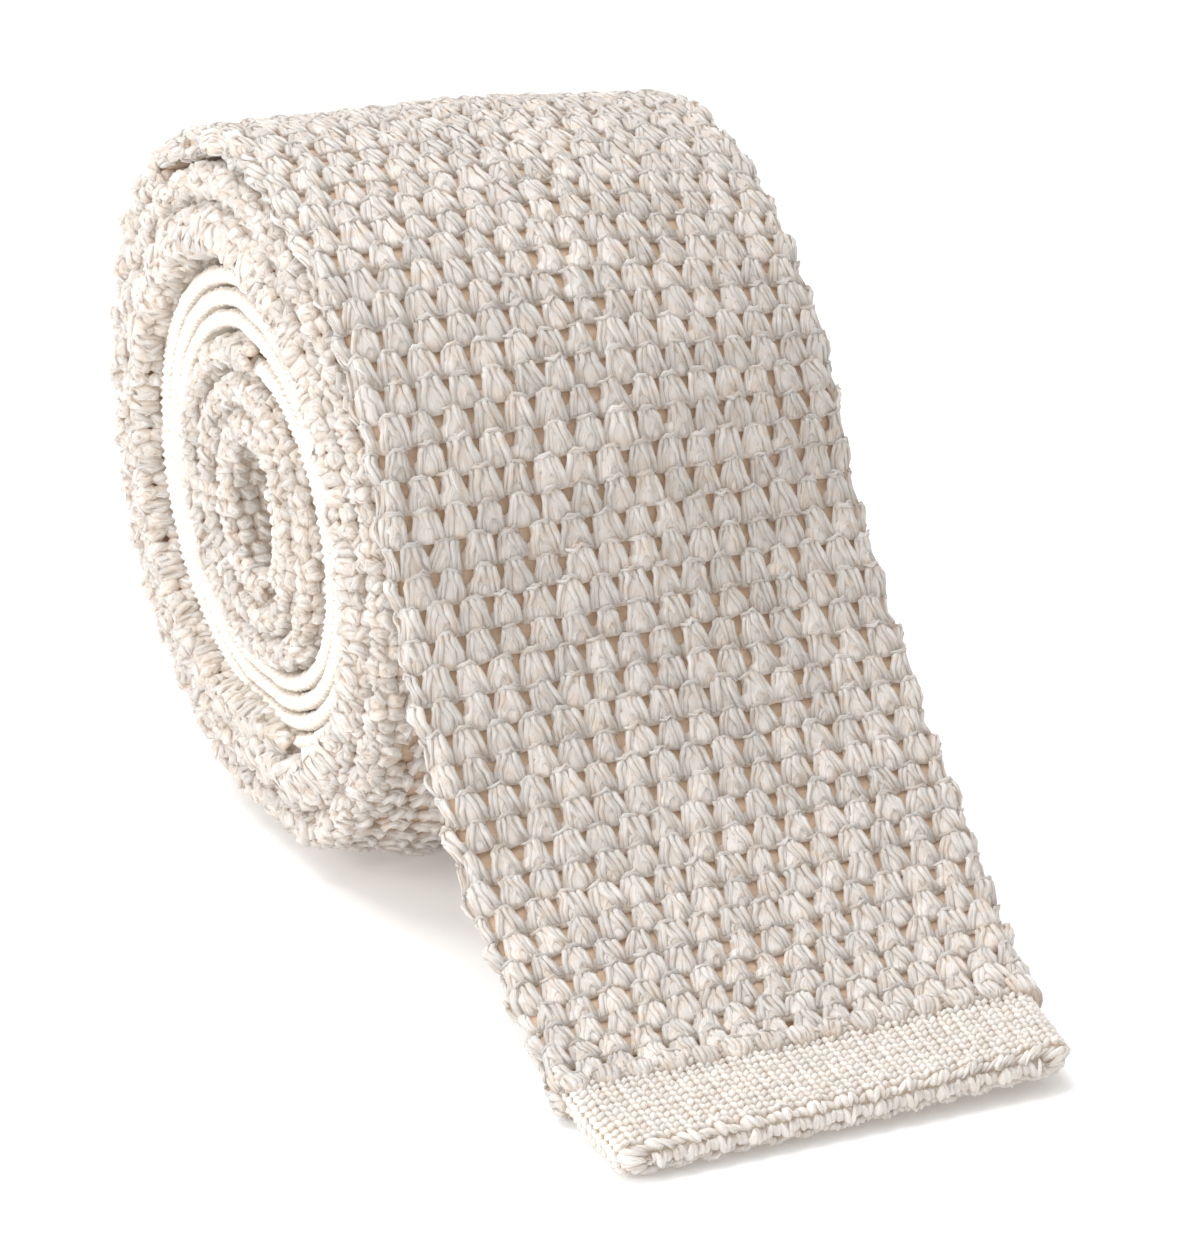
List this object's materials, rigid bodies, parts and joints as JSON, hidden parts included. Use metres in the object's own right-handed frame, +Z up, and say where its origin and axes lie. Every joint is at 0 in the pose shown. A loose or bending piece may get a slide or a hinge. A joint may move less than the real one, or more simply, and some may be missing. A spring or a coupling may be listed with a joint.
{
  "type": "knit tie",
  "caption": "Openwork knitted necktie rolled up from its narrow end, the wide end running down from the roll to lie flat in front.",
  "frame": {"origin": "centre of the tie's outline on the plane it rests on", "axes": "+X across the tie to the right as seen from the wide end, -Y towards the wide end's tip, +Z up"},
  "size_m": [0.0606, 0.1596, 0.083],
  "materials": {
    "openwork_knit": "soft silk openwork knit, ivory",
    "fine_knit": "close fine silk knit, ivory"
  },
  "bodies": {
    "root": {"end_band": "fine_knit", "front_blade": "openwork_knit", "neck_band": "fine_knit", "tail_blade": "openwork_knit", "tail_band": "fine_knit"}
  },
  "joints": []
}
